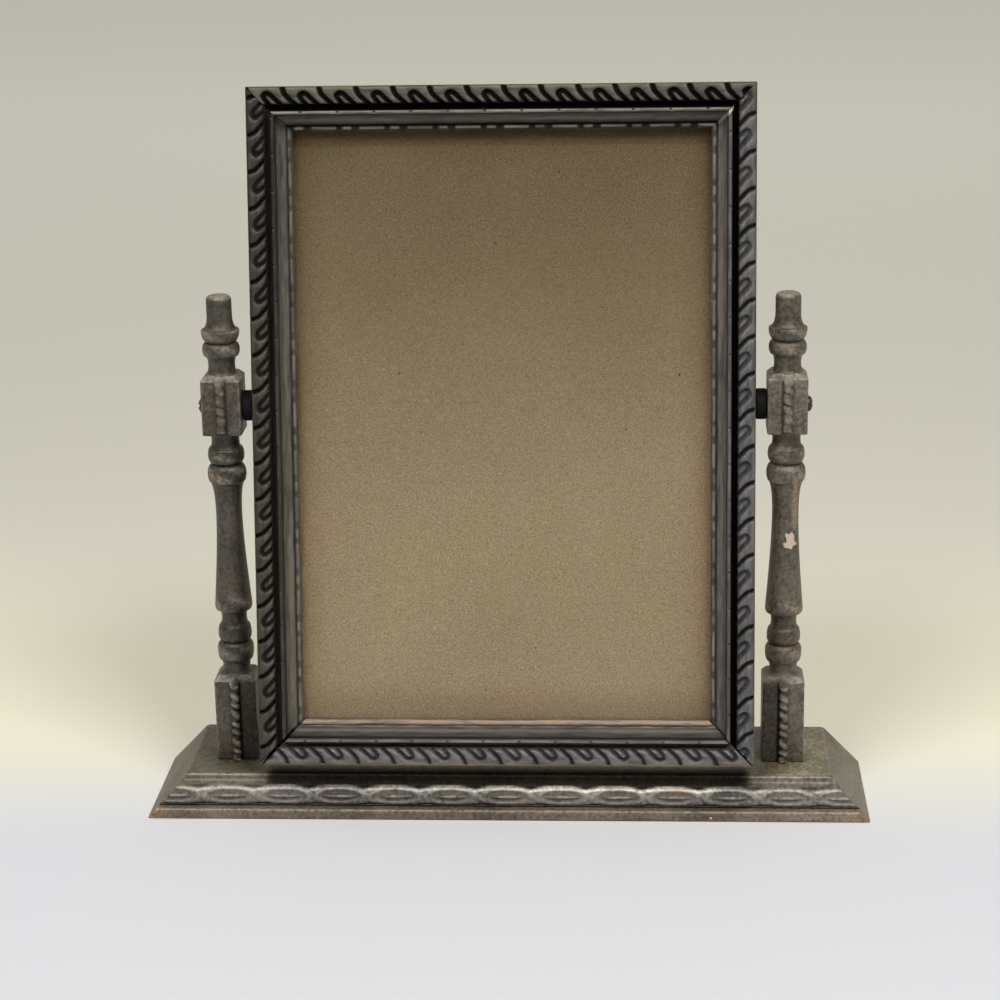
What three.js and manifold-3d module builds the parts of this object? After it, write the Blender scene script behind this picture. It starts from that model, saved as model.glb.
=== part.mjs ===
// Tilting picture frame on a stand. Four mitred lengths of moulding hold glass and a board,
// and the frame swings on two screws between turned posts that stand on a moulded base.
// Millimetres, +Z up. The origin lies on the table, midway between the post axes. The front faces -Y.

import * as THREE from 'three';
import { mergeVertices } from 'three/addons/utils/BufferGeometryUtils.js';
import Module from 'manifold-3d';

const wasm = await Module();
wasm.setup();

// Glass and board
const glassWidth = 127;
const glassHeight = 179.6;
const glassThickness = 2;
const boardThickness = 2;
const glassPlay = 0.3;            // free edge round the glass and the board
const seatGap = 0.15;             // between faces that rest on each other inside the frame

// Frame moulding, from its outer edge to the sight edge that laps over the glass
const mouldingWidth = 12.7;
const bandWidth = 4.9;            // carved outer band
const bandWall = 0.8;             // run of the band's slope into the groove
const grooveWidth = 2.3;
const outerRound = 0.9;           // eased edge between the outer side and the band
const crestWidth = 0.9;           // foremost fillet, inside the groove
const sightBeadWidth = 1.5;
const rabbetWidth = 3.4;
const mitreGap = 0.4;

// Steps in the moulding's front, back to front
const backSpace = 2.1;            // behind the board, where the brads lie
const lipThickness = 2.3;         // rabbet to the top of the sight bead
const sightQuirkDepth = 0.7;      // below the top of the sight bead
const coveDrop = 4.8;             // crest to the sight bead
const bandDrop = 0.6;             // crest to the band's inner edge
const outerDrop = 0.25;           // crest to the band's outer edge
const bandSwell = 0.05;           // crest to the middle of the band's curve
const grooveDepth = 2.8;
const grooveSlope = 0.35;         // run of the groove's wall below the crest

// Corner nails and the brads that hold the board
const nailRadius = 0.7;
const nailHeadRadius = 1.1;
const nailHeadThickness = 0.6;
const nailLength = 18;
const nailInset = 4.6;            // from the outer edge of the neighbouring rail
const nailRearHeight = 3.2;
const nailFrontHeight = 8.4;
const nailSink = 0.2;             // head below the outer side
const nailClearance = 0.15;
const bradRadius = 0.5;
const bradLength = 9;
const bradGrip = 4;               // driven into the rabbet wall

// Pivots
const pivotAboveCentre = 7.2;     // so that the frame hangs upright
const pivotFromBack = 6.5;
const pivotGap = 3.4;             // between the frame's side and the post
const swingClearance = 2.8;       // between the swinging bottom rail and the base
const tiltAngle = THREE.MathUtils.degToRad(9.2);
const screwRadius = 1.5;
const screwGrip = 6.5;            // driven into the stile
const screwTip = 2.5;
const screwHeadRadius = 2.3;
const screwHeadHeight = 1.5;
const screwSlotWidth = 0.8;
const screwSlotDepth = 0.7;
const leftSlotTurn = Math.PI / 2; // slots as they were left by the screwdriver
const rightSlotTurn = THREE.MathUtils.degToRad(70);
const boreClearance = 0.25;
const spacerRadius = 4.5;
const spacerChamfer = 0.3;

// Posts
const lowerBlockSize = 12.4;
const lowerBlockHeight = 26.8;
const middleBlockSize = 11.6;
const middleBlockHeight = 18;
const pivotDrop = 1;              // pivot below the middle of its block
const topBevelDrop = 1.6;         // sloping faces at the top of each block
const topBevelRun = 1.2;
const underBevelDrop = 0.4;       // and below the middle block
const underBevelRun = 0.6;
const turningRoot = 0.9;          // how far a turned form runs into its block
const blockBeadRadius = 1.5;
const blockBeadProud = 1.7;
const joinRadius = 4.7;           // where two turned forms meet
const vaseRadius = 5.6;
const vaseFoot = 1.6;             // rounded underside of the vase
const waistRadius = 3.88;
const waistToBead = 9.7;
const finialRadius = 3.7;
const flangeRadius = 5.6;         // wide edge below the finial
const flangeHeight = 3.8;
const flangeEdge = 0.5;
const finialFlare = 4.3;
const finialLength = 10.1;        // above the flange
const finialRound = 1.7;

// Turned forms from the bottom up: between lower block and vase, vase and middle block, and above it
const footTurnings = [
  { form: 'cove', radius: 4.2, height: 3.9 },
  { form: 'bead', radius: 5.6, height: 4.2 },
  { form: 'cove', radius: 3.7, height: 2.9 },
  { form: 'bead', radius: 5.0, height: 3.6 },
  { form: 'cove', radius: 3.7, height: 3.5 },
];
const neckTurnings = [
  { form: 'bead', radius: 5.75, height: 4.6 },
  { form: 'cove', radius: 4.15, height: 1.8 },
  { form: 'bead', radius: 5.4, height: 4.2 },
  { form: 'cove', radius: 4.2, height: 4.4 },
];
const finialTurnings = [
  { form: 'cove', radius: 4.0, height: 5.1 },
  { form: 'bead', radius: 5.5, height: 4.1 },
];

// Base: its front moulding steps forwards and down from the flat top to the plinth
const baseHeight = 11.6;
const baseRear = 22.3;
const baseOverhang = 25.3;        // each end beyond its post axis
const endBevel = 11.1;            // run of each sloping end
const topFront = 17.4;
const topNosing = 0.8;
const ledgeDrop = 3.2;
const ledgeRun = 2;
const baseBandRun = 2.3;          // forward slope of the rounded band
const baseBandBulge = 1.2;
const quirkDepth = 0.6;
const quirkHeight = 0.5;
const plinthRun = 2.7;            // plinth ahead of the band's foot
const plinthHeight = 3.2;
const plinthRound = 0.4;

// Screws that hold the posts from below
const postScrewRadius = 1.75;
const postScrewHeadRadius = 3.5;
const postScrewHeadHeight = 2;
const postScrewLength = 24;
const postScrewRecess = 1.2;
const postScrewTip = 4;
const postScrewClearance = 0.2;

// Facets
const latheSides = 24;
const smallSides = 12;
const squareSides = 4;            // a square form made as a turned one
const curveSteps = 3;
const mergeTolerance = 1e-4;
const cutMargin = 2;              // how far a cutter runs past the faces that it opens

// Derived sizes
const boardBack = backSpace;
const bradHeight = boardBack - seatGap - bradRadius;
const glassBack = boardBack + boardThickness + seatGap;
const rabbetDepth = glassBack + glassThickness + seatGap;
const sightBeadHeight = rabbetDepth + lipThickness;
const crestHeight = sightBeadHeight + coveDrop;
const outerHeight = crestHeight - outerDrop;
const swellHeight = crestHeight - bandSwell;
const bandHeight = crestHeight - bandDrop;
const frameWidth = glassWidth + 2 * (glassPlay - rabbetWidth + mouldingWidth);
const frameHeight = glassHeight + 2 * (glassPlay - rabbetWidth + mouldingWidth);
const frontReach = crestHeight - pivotFromBack;
const reachBelowPivot = Math.hypot(frameHeight / 2 + pivotAboveCentre, Math.max(frontReach, pivotFromBack));
const pivotHeight = baseHeight + swingClearance + reachBelowPivot;
const middleBlockBottom = pivotHeight + pivotDrop - middleBlockHeight / 2;
const middleBlockTop = middleBlockBottom + middleBlockHeight;
const lowerBlockTop = baseHeight + lowerBlockHeight;
const postAxis = frameWidth / 2 + pivotGap + middleBlockSize / 2;
const baseLength = 2 * (postAxis + baseOverhang);
const screwLength = middleBlockSize + pivotGap + screwGrip;

const paint = { color: 0x5f5a54, roughness: 0.55, metalness: 0.15 };
const paints = {
  base: { ...paint, color: 0x6a645d },
  post: { ...paint, color: 0x57524d },
  moulding: paint,
  glass: { color: 0xd5dedb, roughness: 0.05, metalness: 0, transparent: true, opacity: 0.3 },
  board: { color: 0x7c6a50, roughness: 0.9, metalness: 0 },
  steel: { color: 0x6d675f, roughness: 0.45, metalness: 0.85 },
  spacer: { color: 0x2b2623, roughness: 0.8, metalness: 0 },
};

// Closed geometry to a solid that can be joined and cut
function toSolid(geometry) {
  geometry.deleteAttribute('normal');
  geometry.deleteAttribute('uv');
  const merged = mergeVertices(geometry, mergeTolerance);
  const corners = merged.index.array;
  const triangles = [];
  for (let i = 0; i < corners.length; i += 3) {
    const [a, b, c] = corners.slice(i, i + 3);
    if (a !== b && b !== c && c !== a) triangles.push(a, b, c);
  }
  return new wasm.Manifold(new wasm.Mesh({
    numProp: 3,
    vertProperties: new Float32Array(merged.attributes.position.array),
    triVerts: new Uint32Array(triangles),
  }));
}

function toMesh(name, solid, look) {
  const { vertProperties, triVerts } = solid.getMesh();
  const geometry = new THREE.BufferGeometry();
  geometry.setAttribute('position', new THREE.BufferAttribute(vertProperties, 3));
  geometry.setIndex(new THREE.BufferAttribute(triVerts, 1));
  geometry.computeVertexNormals();
  const mesh = new THREE.Mesh(geometry, new THREE.MeshStandardMaterial(look));
  mesh.name = name;
  return mesh;
}

// Revolve an outline of (radius, height) points, listed upwards, round the Z axis
function turned(outline, sides) {
  const points = outline.map(([radius, height]) => new THREE.Vector2(radius, height));
  return toSolid(new THREE.LatheGeometry(points, sides).rotateX(Math.PI / 2));
}

// Bar along X whose section is drawn in (Y, Z) and whose ends are cut at halfLength(y, z)
function barAlongX(section, halfLength) {
  const geometry = new THREE.ExtrudeGeometry(section, {
    depth: 1,
    bevelEnabled: false,
    curveSegments: curveSteps,
  });
  const points = geometry.attributes.position;
  for (let i = 0; i < points.count; i += 1) {
    const y = points.getX(i);
    const z = points.getY(i);
    const end = points.getZ(i) > 0.5 ? 1 : -1;
    points.setXYZ(i, end * halfLength(y, z), y, z);
  }
  return toSolid(geometry);
}

function box(width, depth, height) {
  return toSolid(new THREE.BoxGeometry(width, depth, height));
}

// Moulding section: the outer back edge is the origin, the front is -Y and the sight edge is -Z
function mouldingSection() {
  const grooveStart = -bandWidth;
  const grooveEnd = grooveStart - grooveWidth;
  const grooveFloor = -(crestHeight - grooveDepth);
  const coveStart = grooveEnd - crestWidth;
  const beadStart = -(mouldingWidth - sightBeadWidth);
  const quirk = -(sightBeadHeight - sightQuirkDepth);
  const section = new THREE.Shape();
  section.moveTo(0, 0);
  section.lineTo(outerRound - outerHeight, 0);
  section.quadraticCurveTo(-outerHeight, 0, -outerHeight, -outerRound);
  section.quadraticCurveTo(-swellHeight, (grooveStart - outerRound) / 2, -bandHeight, grooveStart);
  section.lineTo(grooveFloor, grooveStart - bandWall);
  section.lineTo(grooveFloor, grooveEnd + grooveSlope);
  section.lineTo(-crestHeight, grooveEnd);
  section.lineTo(-crestHeight, coveStart);
  section.quadraticCurveTo(quirk, coveStart, quirk, beadStart);
  section.absellipse(quirk, beadStart - sightBeadWidth / 2, sightQuirkDepth, sightBeadWidth / 2,
    Math.PI / 2, Math.PI * 1.5, false);
  section.lineTo(-rabbetDepth, -mouldingWidth);
  section.lineTo(-rabbetDepth, rabbetWidth - mouldingWidth);
  section.lineTo(0, rabbetWidth - mouldingWidth);
  section.closePath();
  return section;
}

// Headed nail along -Z with its head's top at the origin, grown by the clearance for its hole
function nailSolid(clearance) {
  return turned([
    [0, -nailLength - clearance],
    [nailRadius + clearance, -nailLength - clearance],
    [nailRadius + clearance, -nailHeadThickness - clearance],
    [nailHeadRadius + clearance, -nailHeadThickness - clearance],
    [nailHeadRadius + clearance, clearance],
    [0, clearance],
  ], smallSides);
}

// A rail's own nails go in through its outer side, at +1 and -1 of its length
function nailPlace(railLength, end) {
  const height = end > 0 ? nailFrontHeight : nailRearHeight;
  return [end * (railLength / 2 - nailInset), -height, -nailSink];
}

function nailHoles(railLength) {
  const hole = nailSolid(nailClearance);
  const mouth = turned([
    [0, -nailClearance],
    [nailHeadRadius + nailClearance, -nailClearance],
    [nailHeadRadius + nailClearance, nailSink + cutMargin],
    [0, nailSink + cutMargin],
  ], smallSides);
  const own = [-1, 1].map((end) => hole.add(mouth).translate(nailPlace(railLength, end)));
  // The neighbours' nails come in along the rail, at the height that its own nail there leaves free
  const crossing = [-1, 1].map((end) => {
    const height = end > 0 ? nailRearHeight : nailFrontHeight;
    const place = [end * (railLength / 2 - nailSink), -height, -nailInset];
    return hole.rotate([0, end * 90, 0]).translate(place);
  });
  return [...own, ...crossing];
}

// Brads lie across the back of the board, at the quarter points of each rail
function bradSolid(clearance) {
  return toSolid(new THREE.CylinderGeometry(bradRadius + clearance, bradRadius + clearance,
    bradLength + 2 * clearance, smallSides).rotateX(Math.PI / 2));
}

function bradPlace(railLength, end) {
  const wall = rabbetWidth - mouldingWidth;
  return [end * railLength / 4, -bradHeight, wall + bradGrip - bradLength / 2];
}

function railSolid(length) {
  const pull = mitreGap / 2 * Math.SQRT2;
  let rail = barAlongX(mouldingSection(), (y, z) => length / 2 + z - pull);
  nailHoles(length).forEach((hole) => { rail = rail.subtract(hole); });
  [-1, 1].forEach((end) => {
    rail = rail.subtract(bradSolid(nailClearance).translate(bradPlace(length, end)));
  });
  return rail;
}

// Pivot screw along -Z, its head's underside at the origin
function pivotScrewSolid(slotTurn) {
  const headSteps = 4;
  const dome = [];
  for (let i = 0; i <= headSteps; i += 1) {
    const angle = i / headSteps * Math.PI / 2;
    dome.push([screwHeadRadius * Math.cos(angle), screwHeadHeight * Math.sin(angle)]);
  }
  const screw = turned([
    [0, -screwLength],
    [screwRadius, screwTip - screwLength],
    [screwRadius, 0],
    ...dome,
  ], smallSides);
  const slot = box(2 * (screwHeadRadius + cutMargin), screwSlotWidth, 2 * screwSlotDepth)
    .rotate([0, 0, THREE.MathUtils.radToDeg(slotTurn)])
    .translate([0, 0, screwHeadHeight]);
  return screw.subtract(slot);
}

function stileSolid(length, pivotAlong) {
  const pilotRadius = screwRadius + nailClearance;
  const pilotDepth = screwGrip + nailClearance;
  const pilot = turned([
    [0, -pilotDepth],
    [pilotRadius, -pilotDepth],
    [pilotRadius, cutMargin],
    [0, cutMargin],
  ], smallSides);
  return railSolid(length).subtract(pilot.translate([pivotAlong, -pivotFromBack, 0]));
}

function spacerSolid() {
  const length = pivotGap - 2 * seatGap;
  const bore = screwRadius + boreClearance;
  return turned([
    [bore, 0],
    [spacerRadius, 0],
    [spacerRadius, length - spacerChamfer],
    [spacerRadius - spacerChamfer, length],
    [bore, length],
    [bore, 0],
  ], latheSides);
}

// Post: turned forms between square blocks whose front carries an upright bead
function addTurnings(path, turnings) {
  turnings.forEach(({ form, radius, height }) => {
    const start = path.currentPoint.y;
    const swell = Math.abs(radius - joinRadius);
    const clockwise = form === 'cove';
    const finish = clockwise ? -Math.PI * 1.5 : Math.PI / 2;
    path.absellipse(joinRadius, start + height / 2, swell, height / 2, -Math.PI / 2, finish, clockwise);
  });
}

function turningsHeight(turnings) {
  return turnings.reduce((sum, { height }) => sum + height, 0);
}

function spindleSolid() {
  const vaseTop = middleBlockBottom - turningsHeight(neckTurnings);
  const waist = vaseTop - waistToBead;
  const path = new THREE.Path();
  path.moveTo(0, lowerBlockTop - turningRoot);
  path.lineTo(joinRadius, lowerBlockTop - turningRoot);
  path.lineTo(joinRadius, lowerBlockTop);
  addTurnings(path, footTurnings);
  const vaseBottom = path.currentPoint.y;
  const vaseEdge = vaseBottom + vaseFoot;
  path.quadraticCurveTo(vaseRadius, vaseBottom, vaseRadius, vaseEdge);
  path.quadraticCurveTo(waistRadius, vaseEdge + (waist - vaseEdge) * 2 / 3, waistRadius, waist);
  path.quadraticCurveTo(waistRadius, waist + waistToBead * 2 / 3, joinRadius, vaseTop);
  addTurnings(path, neckTurnings);
  path.lineTo(joinRadius, middleBlockBottom + turningRoot);
  path.lineTo(0, middleBlockBottom + turningRoot);
  return turned(path.getPoints(curveSteps).map(({ x, y }) => [x, y]), latheSides);
}

function finialSolid() {
  const path = new THREE.Path();
  path.moveTo(0, middleBlockTop - turningRoot);
  path.lineTo(joinRadius, middleBlockTop - turningRoot);
  path.lineTo(joinRadius, middleBlockTop);
  addTurnings(path, finialTurnings);
  const seam = path.currentPoint.y;
  const flange = seam + flangeHeight;
  const top = flange + finialLength;
  path.quadraticCurveTo(flangeRadius, seam, flangeRadius, flange - flangeEdge);
  path.lineTo(flangeRadius, flange);
  path.quadraticCurveTo(finialRadius, flange + flangeEdge, finialRadius, flange + finialFlare);
  path.lineTo(finialRadius, top - finialRound);
  path.quadraticCurveTo(finialRadius, top, finialRadius - finialRound, top);
  path.lineTo(0, top);
  return turned(path.getPoints(curveSteps).map(({ x, y }) => [x, y]), latheSides);
}

// Square block with sloping faces at its top, and below too where it stands free
function blockSolid(size, bottom, top, bevelBelow) {
  const half = size / 2;
  const beadCentre = half + blockBeadProud - blockBeadRadius;
  const section = new THREE.Shape();
  section.moveTo(half, half);
  section.lineTo(-half, half);
  section.lineTo(-half, -half);
  section.lineTo(-blockBeadRadius, -half);
  section.absarc(0, -beadCentre, blockBeadRadius, Math.PI, 0, false);
  section.lineTo(blockBeadRadius, -half);
  section.lineTo(half, -half);
  section.closePath();
  const geometry = new THREE.ExtrudeGeometry(section, {
    depth: top - bottom,
    bevelEnabled: false,
    curveSegments: 2 * curveSteps,
  });
  const prism = toSolid(geometry.translate(0, 0, bottom));
  const beyond = blockBeadProud + cutMargin;
  const topSlope = topBevelDrop / topBevelRun;
  const underSlope = underBevelDrop / underBevelRun;
  const outline = [
    [0, bottom],
    [bevelBelow ? half - underBevelRun : half + beyond, bottom],
    [half + beyond, bevelBelow ? bottom + underBevelDrop + beyond * underSlope : bottom],
    [half + beyond, top - topBevelDrop - beyond * topSlope],
    [half - topBevelRun, top],
    [0, top],
  ];
  const bevels = turned(outline.map(([reach, height]) => [reach * Math.SQRT2, height]), squareSides);
  return prism.intersect(bevels.rotate([0, 0, 180 / squareSides]));
}

function postSolid() {
  const pivotBore = screwRadius + boreClearance;
  const boreLength = middleBlockSize + 2 * cutMargin;
  const bore = toSolid(new THREE.CylinderGeometry(pivotBore, pivotBore, boreLength, latheSides)
    .rotateZ(Math.PI / 2)).translate([0, 0, pivotHeight]);
  const pilotRadius = postScrewRadius + postScrewClearance;
  const pilotTop = postScrewRecess + postScrewLength + postScrewClearance;
  const pilot = turned([
    [0, baseHeight - cutMargin],
    [pilotRadius, baseHeight - cutMargin],
    [pilotRadius, pilotTop - postScrewTip],
    [postScrewClearance, pilotTop],
    [0, pilotTop],
  ], smallSides);
  return blockSolid(lowerBlockSize, baseHeight, lowerBlockTop, false)
    .add(spindleSolid())
    .add(blockSolid(middleBlockSize, middleBlockBottom, middleBlockTop, true))
    .add(finialSolid())
    .subtract(bore)
    .subtract(pilot);
}

// Countersunk screw along Z, its slotted head at the bottom
function postScrewOutline(clearance) {
  const tip = postScrewRecess + postScrewLength;
  return [
    [postScrewHeadRadius + clearance, postScrewRecess],
    [postScrewRadius + clearance, postScrewRecess + postScrewHeadHeight],
    [postScrewRadius + clearance, tip - postScrewTip],
    [0, tip + clearance],
  ];
}

function postScrewSolid() {
  const slot = box(2 * (postScrewHeadRadius + cutMargin), screwSlotWidth, 2 * screwSlotDepth);
  return turned([[0, postScrewRecess], ...postScrewOutline(0)], smallSides)
    .subtract(slot.translate([0, 0, postScrewRecess]));
}

// Base section in (Y, Z): flat top, ledge, rounded band and plinth at the front, plain back
function baseSection() {
  const ledgeHeight = baseHeight - ledgeDrop;
  const ledgeFront = topFront + ledgeRun;
  const bandFoot = plinthHeight + quirkHeight;
  const bandFront = ledgeFront + baseBandRun;
  const plinthFront = bandFront + plinthRun;
  const section = new THREE.Shape();
  section.moveTo(baseRear, 0);
  section.lineTo(baseRear, baseHeight);
  section.lineTo(topNosing - topFront, baseHeight);
  section.quadraticCurveTo(-topFront, baseHeight, -topFront, baseHeight - topNosing);
  section.lineTo(-topFront, ledgeHeight);
  section.lineTo(-ledgeFront, ledgeHeight);
  section.quadraticCurveTo(-bandFront - baseBandBulge, (ledgeHeight + bandFoot) / 2, -bandFront, bandFoot);
  section.lineTo(quirkDepth - bandFront, plinthHeight);
  section.lineTo(plinthRound - plinthFront, plinthHeight);
  section.lineTo(-plinthFront, plinthHeight - plinthRound);
  section.lineTo(-plinthFront, 0);
  section.closePath();
  return section;
}

function baseSolid() {
  const slope = endBevel / baseHeight;
  let base = barAlongX(baseSection(), (y, z) => baseLength / 2 - z * slope);
  const hole = turned([
    [0, -cutMargin],
    [postScrewHeadRadius + postScrewClearance, -cutMargin],
    ...postScrewOutline(postScrewClearance),
  ], smallSides);
  [-1, 1].forEach((side) => { base = base.subtract(hole.translate([side * postAxis, 0, 0])); });
  return base;
}

// Assembly: the stand, and the frame that swings on the pivot axis
function standGroup() {
  const stand = new THREE.Group();
  stand.add(toMesh('base', baseSolid(), paints.base));
  [['left', -1], ['right', 1]].forEach(([label, side]) => {
    const post = toMesh(`${label}_post`, postSolid(), paints.post);
    const screw = toMesh(`${label}_post_screw`, postScrewSolid(), paints.steel);
    post.position.x = side * postAxis;
    screw.position.x = side * postAxis;
    stand.add(post, screw);
  });
  return stand;
}

// One side of the frame in its own group, whose origin is the rail's outer back edge
function frameSide(railMesh, prefix, length, reach, turn) {
  const place = new THREE.Group();
  place.position.set(0, 0, reach);
  place.add(railMesh);
  [['first', -1], ['second', 1]].forEach(([label, end]) => {
    const nail = toMesh(`${prefix}_${label}_nail`, nailSolid(0), paints.steel);
    const brad = toMesh(`${prefix}_${label}_brad`, bradSolid(0), paints.steel);
    nail.position.set(...nailPlace(length, end));
    brad.position.set(...bradPlace(length, end));
    place.add(nail, brad);
  });
  const side = new THREE.Group();
  side.rotation.y = turn;
  side.add(place);
  return side;
}

function paneMesh(name, thickness, back, look) {
  const pane = toMesh(name, box(glassWidth, thickness, glassHeight), look);
  pane.position.y = -(back + thickness / 2);
  return pane;
}

function frameGroup() {
  const frame = new THREE.Group();
  frame.position.set(0, pivotFromBack, -pivotAboveCentre);
  const rail = railSolid(frameWidth);
  const topRail = toMesh('top_rail', rail, paints.moulding);
  const bottomRail = toMesh('bottom_rail', rail, paints.moulding);
  const leftStile = toMesh('left_stile', stileSolid(frameHeight, pivotAboveCentre), paints.moulding);
  const rightStile = toMesh('right_stile', stileSolid(frameHeight, -pivotAboveCentre), paints.moulding);
  frame.add(
    frameSide(topRail, 'top', frameWidth, frameHeight / 2, 0),
    frameSide(rightStile, 'right', frameHeight, frameWidth / 2, Math.PI / 2),
    frameSide(bottomRail, 'bottom', frameWidth, frameHeight / 2, Math.PI),
    frameSide(leftStile, 'left', frameHeight, frameWidth / 2, -Math.PI / 2),
    paneMesh('glass_pane', glassThickness, glassBack, paints.glass),
    paneMesh('backing_board', boardThickness, boardBack, paints.board),
  );
  return frame;
}

function pivotGroup(label, side, slotTurn) {
  const pivot = new THREE.Group();
  const screw = toMesh(`${label}_pivot_screw`, pivotScrewSolid(slotTurn), paints.steel);
  const spacer = toMesh(`${label}_spacer`, spacerSolid(), paints.spacer);
  screw.position.z = frameWidth / 2 + pivotGap + middleBlockSize + seatGap;
  spacer.position.z = frameWidth / 2 + seatGap;
  pivot.rotation.y = side * Math.PI / 2;
  pivot.add(screw, spacer);
  return pivot;
}

const swing = new THREE.Group();
swing.position.z = pivotHeight;
swing.rotation.x = -tiltAngle;
swing.add(frameGroup(), pivotGroup('left', -1, leftSlotTurn), pivotGroup('right', 1, rightSlotTurn));

const pictureFrame = new THREE.Group();
pictureFrame.add(standGroup(), swing);

export default pictureFrame;
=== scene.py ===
import math

import bpy
import numpy as np
from mathutils import Matrix, Vector


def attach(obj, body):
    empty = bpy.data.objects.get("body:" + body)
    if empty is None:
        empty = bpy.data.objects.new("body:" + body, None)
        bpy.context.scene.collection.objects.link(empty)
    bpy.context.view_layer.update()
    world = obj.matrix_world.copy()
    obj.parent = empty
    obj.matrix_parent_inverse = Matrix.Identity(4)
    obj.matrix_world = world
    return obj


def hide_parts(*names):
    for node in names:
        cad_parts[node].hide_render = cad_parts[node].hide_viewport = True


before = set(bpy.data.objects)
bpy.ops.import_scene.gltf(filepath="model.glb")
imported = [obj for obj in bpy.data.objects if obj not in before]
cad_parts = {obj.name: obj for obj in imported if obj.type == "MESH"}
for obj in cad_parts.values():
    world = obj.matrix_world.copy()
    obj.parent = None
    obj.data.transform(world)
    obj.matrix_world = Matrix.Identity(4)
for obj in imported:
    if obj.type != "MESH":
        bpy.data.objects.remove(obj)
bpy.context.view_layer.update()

mm = 0.001
hair = 0.001  # in millimetres, less than this counts as nothing
print("frame loaded with", len(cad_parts), "nodes")


# Hand tools. Sizes are in millimetres, and the frame is in metres.

def putDown():
    if bpy.context.object and bpy.context.object.mode != 'OBJECT':
        bpy.ops.object.mode_set(mode='OBJECT')
    bpy.ops.object.select_all(action='DESELECT')


def pickUp(piece):
    putDown()
    piece.select_set(True)
    bpy.context.view_layer.objects.active = piece


def throwAway(piece):
    pickUp(piece)
    bpy.ops.object.delete()


def editAll(piece):
    pickUp(piece)
    bpy.context.tool_settings.mesh_select_mode = (True, False, False)
    bpy.ops.object.mode_set(mode='EDIT')
    bpy.ops.mesh.select_all(action='SELECT')


def corners(piece):  # every point of the mesh, in millimetres
    flat = np.empty(len(piece.data.vertices) * 3)
    piece.data.vertices.foreach_get("co", flat)
    return flat.reshape(-1, 3) / mm


def drawOutline(name, outline):  # edges drawn from point to point
    putDown()
    start = Vector(outline[0]) * mm
    bpy.ops.mesh.primitive_plane_add(size=mm, location=start)
    piece = bpy.context.active_object
    piece.name = name
    bpy.ops.object.transform_apply(location=True, rotation=True, scale=True)
    editAll(piece)
    bpy.ops.mesh.merge(type='CENTER')
    for here, there in zip(outline, outline[1:]):
        step = (Vector(there) - Vector(here)) * mm
        bpy.ops.mesh.extrude_region_move(TRANSFORM_OT_translate={"value": step})
    bpy.ops.mesh.select_all(action='SELECT')
    return piece


def extrudeOutline(name, outline, run):  # closed section drawn out to a bar
    piece = drawOutline(name, outline)
    bpy.ops.mesh.edge_face_add()
    bpy.ops.mesh.extrude_region_move(TRANSFORM_OT_translate={"value": Vector(run) * mm})
    bpy.ops.mesh.select_all(action='SELECT')
    bpy.ops.mesh.normals_make_consistent(inside=False)
    putDown()
    return piece


def spinOutline(name, outline, steps):  # pairs of radius and height, turned round the Z axis
    piece = drawOutline(name, [(radius, 0, height) for radius, height in outline])
    bpy.ops.mesh.spin(steps=steps, angle=2 * math.pi, center=(0, 0, 0), axis=(0, 0, 1))
    bpy.ops.mesh.select_all(action='SELECT')
    bpy.ops.mesh.remove_doubles(threshold=hair * mm)
    bpy.ops.mesh.normals_make_consistent(inside=False)
    putDown()
    return piece


def cutRows(piece, axis, cuts):  # rows of cuts across the edges that run along an axis
    pickUp(piece)
    bpy.context.tool_settings.mesh_select_mode = (False, True, False)
    mesh = piece.data
    mesh.vertices.foreach_set("select", np.zeros(len(mesh.vertices), bool))
    mesh.polygons.foreach_set("select", np.zeros(len(mesh.polygons), bool))
    ends = np.empty(len(mesh.edges) * 2, int)
    mesh.edges.foreach_get("vertices", ends)
    first, second = corners(piece)[ends.reshape(-1, 2)].transpose(1, 0, 2)
    run = abs(second - first)
    nearlyAll = 0.99  # share of an edge's length that lies along the axis
    mesh.edges.foreach_set("select", run[:, axis] > nearlyAll * np.linalg.norm(run, axis=1))
    bpy.ops.object.mode_set(mode='EDIT')
    bpy.ops.mesh.subdivide(number_cuts=cuts)
    putDown()


def trim(piece, point, normal):  # cut off what lies on the normal's side
    editAll(piece)
    bpy.ops.mesh.bisect(plane_co=Vector(point) * mm, plane_no=normal, use_fill=True, clear_outer=True,
                        threshold=hair * mm)
    putDown()


def useModifier(piece, kind, **settings):
    pickUp(piece)
    bpy.ops.object.modifier_add(type=kind)
    modifier = piece.modifiers[-1]
    for name, value in settings.items():
        setattr(modifier, name, value)
    bpy.ops.object.modifier_apply(modifier=modifier.name)


def combine(piece, tool, operation):
    useModifier(piece, 'BOOLEAN', object=tool, operation=operation, solver='MANIFOLD')
    throwAway(tool)


def copyOf(piece, name):
    pickUp(piece)
    bpy.ops.object.duplicate(linked=False)
    made = bpy.context.active_object
    made.name = name
    return made


def place(piece, matrix):
    pickUp(piece)
    piece.matrix_world = matrix
    bpy.ops.object.transform_apply(location=True, rotation=True, scale=True)


def shift(x=0, y=0, z=0):
    return Matrix.Translation(Vector((x, y, z)) * mm)


def turn(degrees, axis):
    return Matrix.Rotation(math.radians(degrees), 4, axis)


def remember(piece, **fields):  # values for each point, which the paint reads
    for name, values in fields.items():
        kind, field = ('FLOAT', 'value') if values.ndim == 1 else ('FLOAT_VECTOR', 'vector')
        layer = piece.data.attributes.new(name, kind, 'POINT')
        layer.data.foreach_set(field, values.astype(np.float32).ravel())


def recall(piece, name):
    values = np.empty(len(piece.data.vertices))
    piece.data.attributes[name].data.foreach_get('value', values)
    return values


def change(piece, name, values):
    piece.data.attributes[name].data.foreach_set('value', values.astype(np.float32))


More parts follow.
